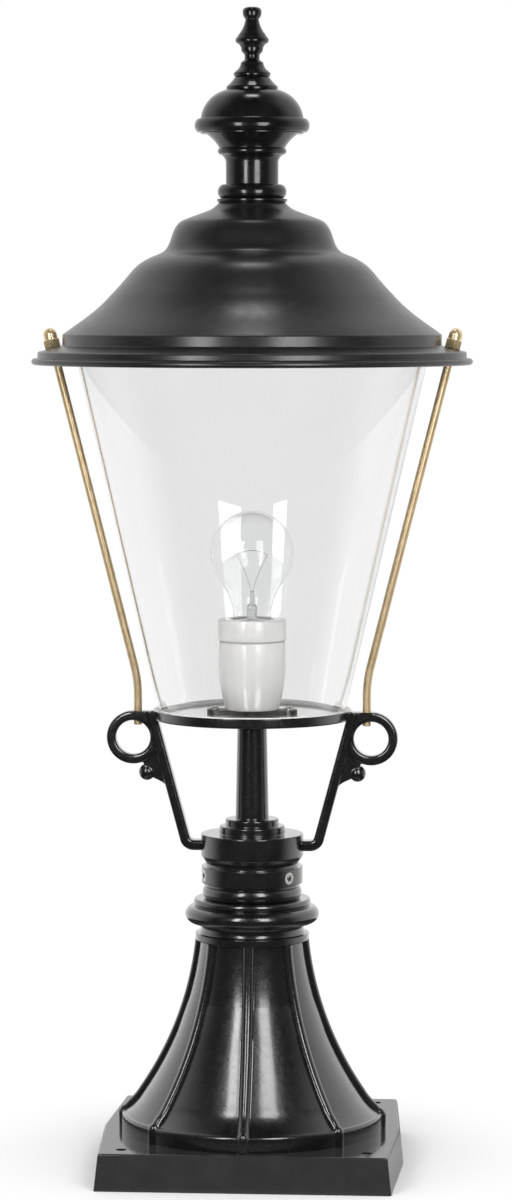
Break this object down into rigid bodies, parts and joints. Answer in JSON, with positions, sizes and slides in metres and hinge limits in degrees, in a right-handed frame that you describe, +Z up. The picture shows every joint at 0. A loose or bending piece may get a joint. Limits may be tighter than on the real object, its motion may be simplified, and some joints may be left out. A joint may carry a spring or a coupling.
{
  "type": "garden lamp",
  "caption": "Pedestal garden lantern: ribbed flared foot on a square plate, forked bracket, clear conical shade held by brass rods, domed cap and turned finial.",
  "frame": {"origin": "middle of the foot plate's underside, on the axis of the column", "axes": "+Z up along the column, -Y towards the viewer, +X towards the right-hand arm"},
  "size_m": [0.2914, 0.2914, 0.7682],
  "materials": {
    "gloss_black": "gloss",
    "satin_black": "satin",
    "clear_shade": "gloss",
    "bulb_glass": "gloss",
    "brass": "satin",
    "porcelain": "gloss",
    "zinc": "satin",
    "dark_steel": "satin",
    "seal": "matte",
    "insulator": "gloss"
  },
  "bodies": {
    "foot": {"pedestal_foot": "gloss_black"},
    "lantern_head": {"lantern_bracket": "gloss_black", "set_screws": "zinc", "tray_seal": "seal", "glass_shade": "clear_shade", "cap_seal": "seal", "lantern_cap": "satin_black", "finial_urn": "gloss_black", "finial_dome": "gloss_black", "finial_spire": "gloss_black", "stud_washer": "zinc", "stud_nut": "zinc", "finial_stud": "zinc", "tie_rod_left": "brass", "tie_rod_right": "brass", "cap_nuts": "brass", "holder_strap": "dark_steel", "strap_screws": "zinc", "holder_nipple": "brass", "holder_body": "porcelain", "holder_ring": "porcelain", "screw_shell": "brass", "centre_contact": "brass", "bulb_tip": "zinc", "bulb_insulator": "insulator", "bulb_cap": "zinc", "bulb_envelope": "bulb_glass", "bulb_mount": "bulb_glass", "bulb_leads": "dark_steel", "filament": "dark_steel"}
  },
  "joints": [
    {"name": "head_swivel", "type": "hinge", "parent": "foot", "child": "lantern_head", "pos_m": [0, 0, 0.1788], "axis": [0, 0, 1], "range_deg": [-180, 180]}
  ]
}
